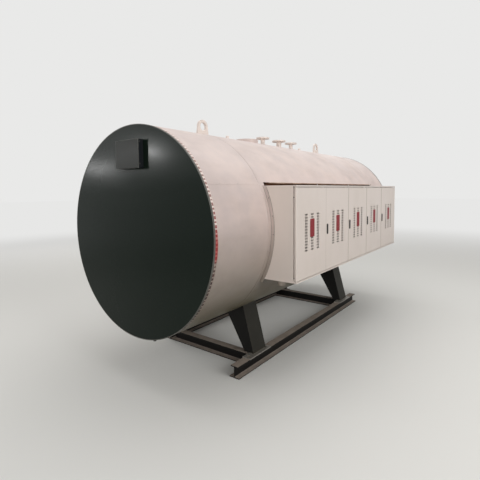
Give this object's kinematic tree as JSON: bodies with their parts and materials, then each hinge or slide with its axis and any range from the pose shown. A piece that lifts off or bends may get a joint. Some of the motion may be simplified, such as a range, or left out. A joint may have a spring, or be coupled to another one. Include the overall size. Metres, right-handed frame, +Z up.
{
  "type": "horizontal electric boiler",
  "caption": "Horizontal electric boiler: a clad drum on a beam frame, flanged nozzles and lifting lugs on top, and a long side cabinet with vented hinged doors.",
  "frame": {"origin": "on the floor, under the middle of the outline", "axes": "+Z up, +Y along the drum from the front plate to the rear plate, +X towards the cabinet side"},
  "size_m": [1.868, 3.846, 2.2],
  "materials": {
    "base_paint": "dark brown gloss paint, worn",
    "bare_steel": "bare mild steel",
    "vessel_primer": "rust-brown primer",
    "plate_enamel": "dark glossy enamel",
    "lock_plastic": "black",
    "cabinet_ivory": "ivory powder coat",
    "casing_white": "warm white semi-gloss paint",
    "box_black": "black",
    "box_face": "dark grey, glossy"
  },
  "bodies": {
    "boiler": {"runner_left": "base_paint", "runner_right": "base_paint", "cross_beam_front": "base_paint", "cross_beam_rear": "base_paint", "leg_front_left": "base_paint", "leg_front_right": "base_paint", "leg_rear_left": "base_paint", "leg_rear_right": "base_paint", "foot_plates": "bare_steel", "vessel_shell": "vessel_primer", "vessel_head_front": "vessel_primer", "vessel_head_rear": "vessel_primer", "spacer_rings": "bare_steel", "casing_front": "casing_white", "casing_middle": "casing_white", "casing_rear": "casing_white", "rims": "casing_white", "front_plate": "plate_enamel", "rear_plate": "plate_enamel", "lug_front": "casing_white", "lug_rear": "casing_white", "nozzle_front": "casing_white", "nozzle_middle": "casing_white", "nozzle_rear": "casing_white", "couplings": "bare_steel", "handhole_cover": "casing_white", "control_box": "box_black", "control_box_face": "box_face", "cabinet_roof": "cabinet_ivory", "cabinet_floor": "cabinet_ivory", "cabinet_end_front": "cabinet_ivory", "cabinet_end_rear": "cabinet_ivory", "cabinet_strips": "casing_white", "cabinet_posts": "cabinet_ivory", "cabinet_rails": "cabinet_ivory", "hinge_pins": "bare_steel", "cable_gland": "casing_white"},
    "door_1": {"door_1": "cabinet_ivory"},
    "door_2": {"door_2": "cabinet_ivory", "door_lock_2": "lock_plastic"},
    "door_3": {"door_3": "cabinet_ivory", "door_lock_3": "lock_plastic"},
    "door_4": {"door_4": "cabinet_ivory", "door_lock_4": "lock_plastic"},
    "door_5": {"door_5": "cabinet_ivory", "door_lock_5": "lock_plastic"}
  },
  "joints": [
    {"name": "door_1_hinge", "type": "hinge", "parent": "boiler", "child": "door_1", "pos_m": [0.919, -1.18, 1.2115], "axis": [0, 0, -1], "range_deg": [0, 90]},
    {"name": "door_2_hinge", "type": "hinge", "parent": "boiler", "child": "door_2", "pos_m": [0.919, -0.1585, 1.2115], "axis": [0, 0, 1], "range_deg": [0, 90]},
    {"name": "door_3_hinge", "type": "hinge", "parent": "boiler", "child": "door_3", "pos_m": [0.919, 0.3605, 1.2115], "axis": [0, 0, 1], "range_deg": [0, 90]},
    {"name": "door_4_hinge", "type": "hinge", "parent": "boiler", "child": "door_4", "pos_m": [0.919, 0.8795, 1.2115], "axis": [0, 0, 1], "range_deg": [0, 90]},
    {"name": "door_5_hinge", "type": "hinge", "parent": "boiler", "child": "door_5", "pos_m": [0.919, 1.459, 1.2115], "axis": [0, 0, 1], "range_deg": [0, 90]}
  ]
}
